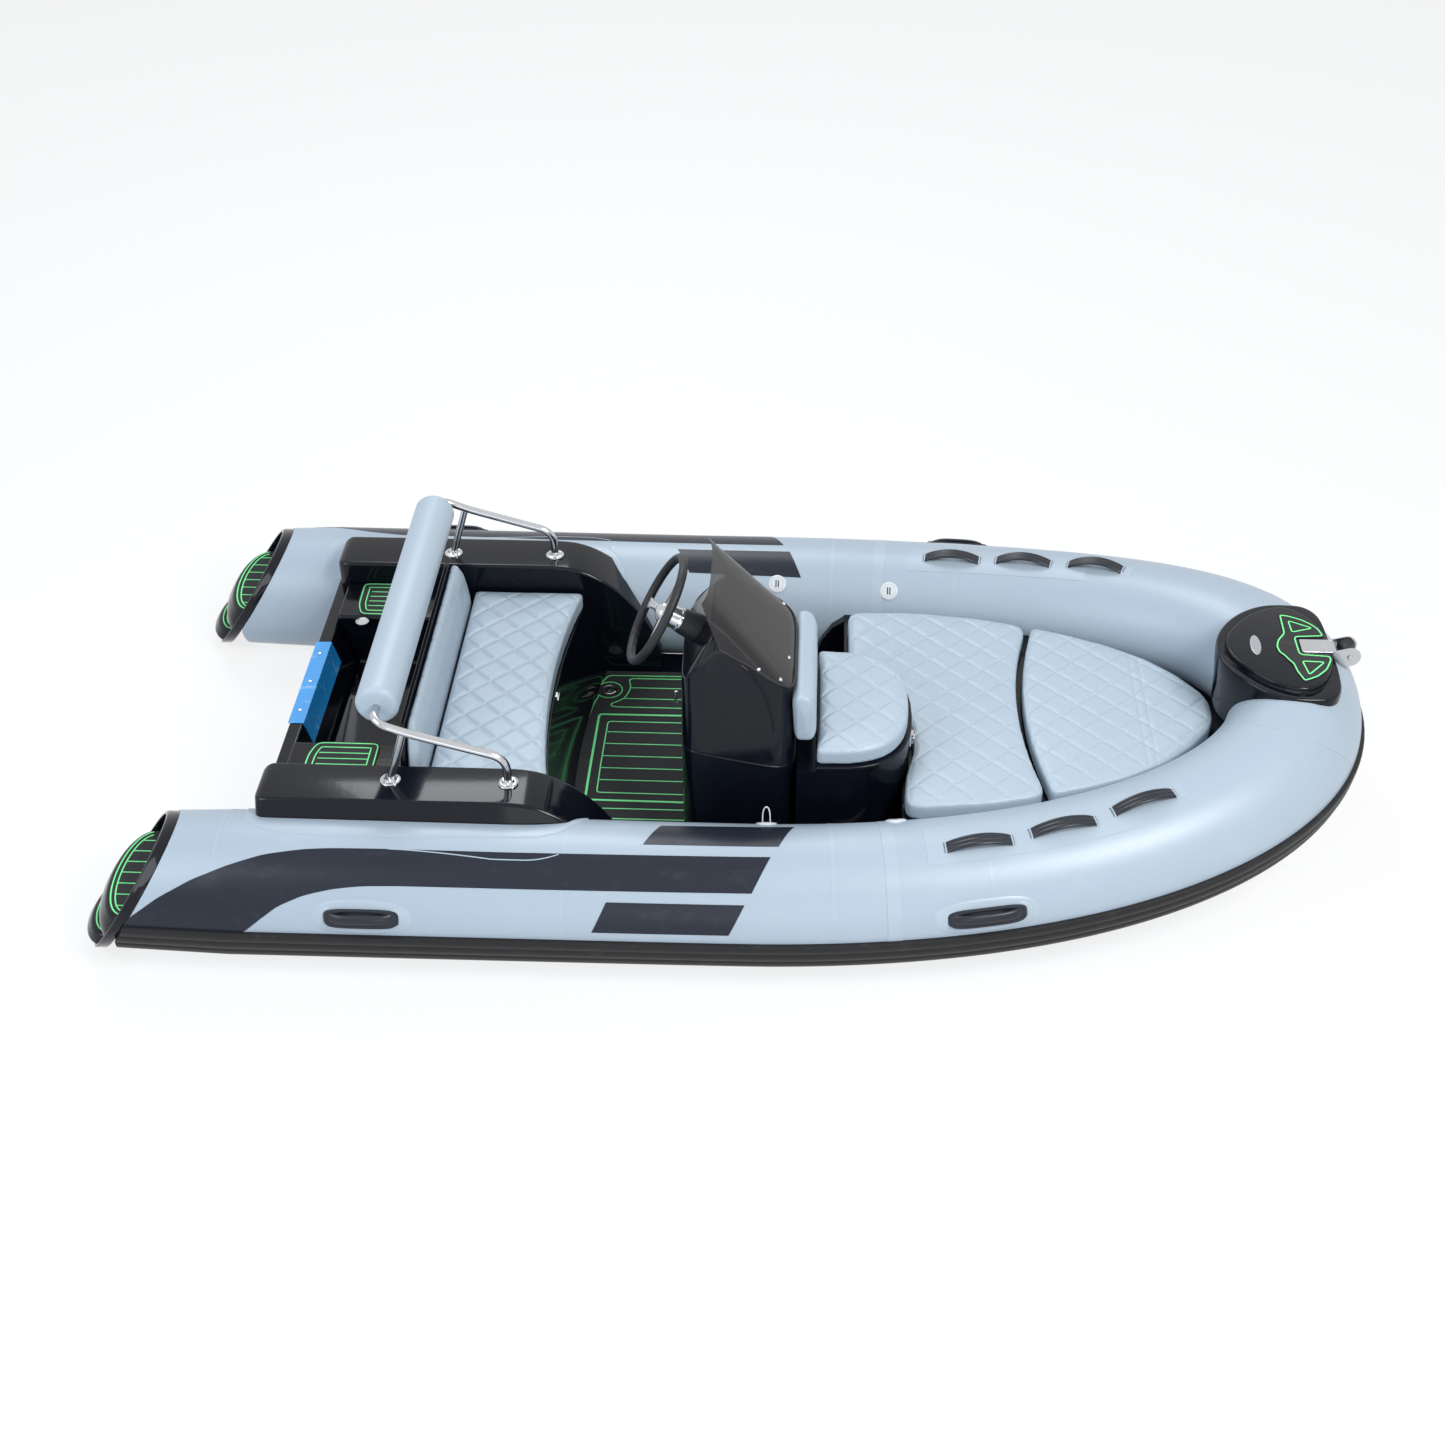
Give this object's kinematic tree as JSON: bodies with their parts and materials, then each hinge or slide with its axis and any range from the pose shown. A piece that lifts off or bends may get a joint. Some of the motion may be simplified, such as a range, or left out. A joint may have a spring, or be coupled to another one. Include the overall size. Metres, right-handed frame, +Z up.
{
  "type": "rigid inflatable boat",
  "caption": "Rigid inflatable boat with a deep V hull, inflatable collar, side console with wheel and screen, padded bench, seat and bow cushions, and a stern rail.",
  "frame": {"origin": "on the centreline at the waterline, below the aft edge of the top of the transom", "axes": "+X forward to the bow, +Y to port, +Z up"},
  "size_m": [3.8586, 2.0049, 1.185],
  "materials": {
    "collar_fabric": "satin light blue-grey coated fabric",
    "gelcoat": "glossy black gelcoat over glass fibre",
    "hull_gelcoat": "glossy dark grey gelcoat over glass fibre",
    "eva_deck": "dark grey foam deck sheet with light green grooves",
    "upholstery": "light grey marine vinyl with quilted stitching",
    "rub_rubber": "black ribbed rubber",
    "stainless": "polished stainless steel",
    "acrylic": "smoked clear acrylic",
    "rim_rubber": "soft black grip",
    "blue_film": "blue protective plate",
    "webbing": "black moulded rubber"
  },
  "bodies": {
    "boat": {"bench_back": "gelcoat", "bench_base": "gelcoat", "bench_bolster": "upholstery", "bow_cushion_aft": "upholstery", "bow_cushion_fwd": "upholstery", "bow_locker": "gelcoat", "bow_roller_bracket": "stainless", "bow_step": "gelcoat", "cockpit_sole": "eva_deck", "collar_bow": "collar_fabric", "collar_port": "collar_fabric", "collar_stbd": "collar_fabric", "console": "gelcoat", "grip_aft_port": "webbing", "grip_aft_stbd": "webbing", "grip_bow_port": "webbing", "grip_bow_stbd": "webbing", "helm_boss": "gelcoat", "hull": "hull_gelcoat", "motor_plate": "blue_film", "rail_roll": "upholstery", "rub_rail_bow": "rub_rubber", "rub_rail_port": "rub_rubber", "rub_rail_stbd": "rub_rubber", "seat_backrest": "upholstery", "seat_box": "gelcoat", "side_box_port": "gelcoat", "side_box_stbd": "gelcoat", "stern_cap_port": "gelcoat", "stern_cap_stbd": "gelcoat", "stern_deck": "gelcoat", "stern_rail": "stainless", "strap_1_port": "webbing", "strap_1_stbd": "webbing", "strap_2_port": "webbing", "strap_2_stbd": "webbing", "strap_3_port": "webbing", "strap_3_stbd": "webbing", "transom": "gelcoat", "windscreen": "acrylic"},
    "bench_top": {"bench_lid": "gelcoat", "bench_cushion": "upholstery"},
    "seat_top": {"seat_lid": "gelcoat", "seat_cushion": "upholstery"},
    "steering_wheel": {"steering_rim": "rim_rubber", "steering_hub": "stainless"},
    "anchor_roller": {"bow_roller": "rub_rubber"}
  },
  "joints": [
    {"name": "bench_lid_hinge", "type": "hinge", "parent": "boat", "child": "bench_top", "pos_m": [0.472, 0, 0.3765], "axis": [0, -1, 0], "range_deg": [0, 80]},
    {"name": "seat_lid_hinge", "type": "hinge", "parent": "boat", "child": "seat_top", "pos_m": [1.6373, -0.19, 0.49], "axis": [0, -1, 0], "range_deg": [0, 80]},
    {"name": "steering", "type": "hinge", "parent": "boat", "child": "steering_wheel", "pos_m": [1.16, -0.19, 0.806], "axis": [-0.8746, 0, 0.4848], "range_deg": [-540, 540]},
    {"name": "anchor_roller_axle", "type": "hinge", "parent": "boat", "child": "anchor_roller", "pos_m": [3.262, 0, 0.57], "axis": [0, 1, 0], "continuous": true}
  ]
}
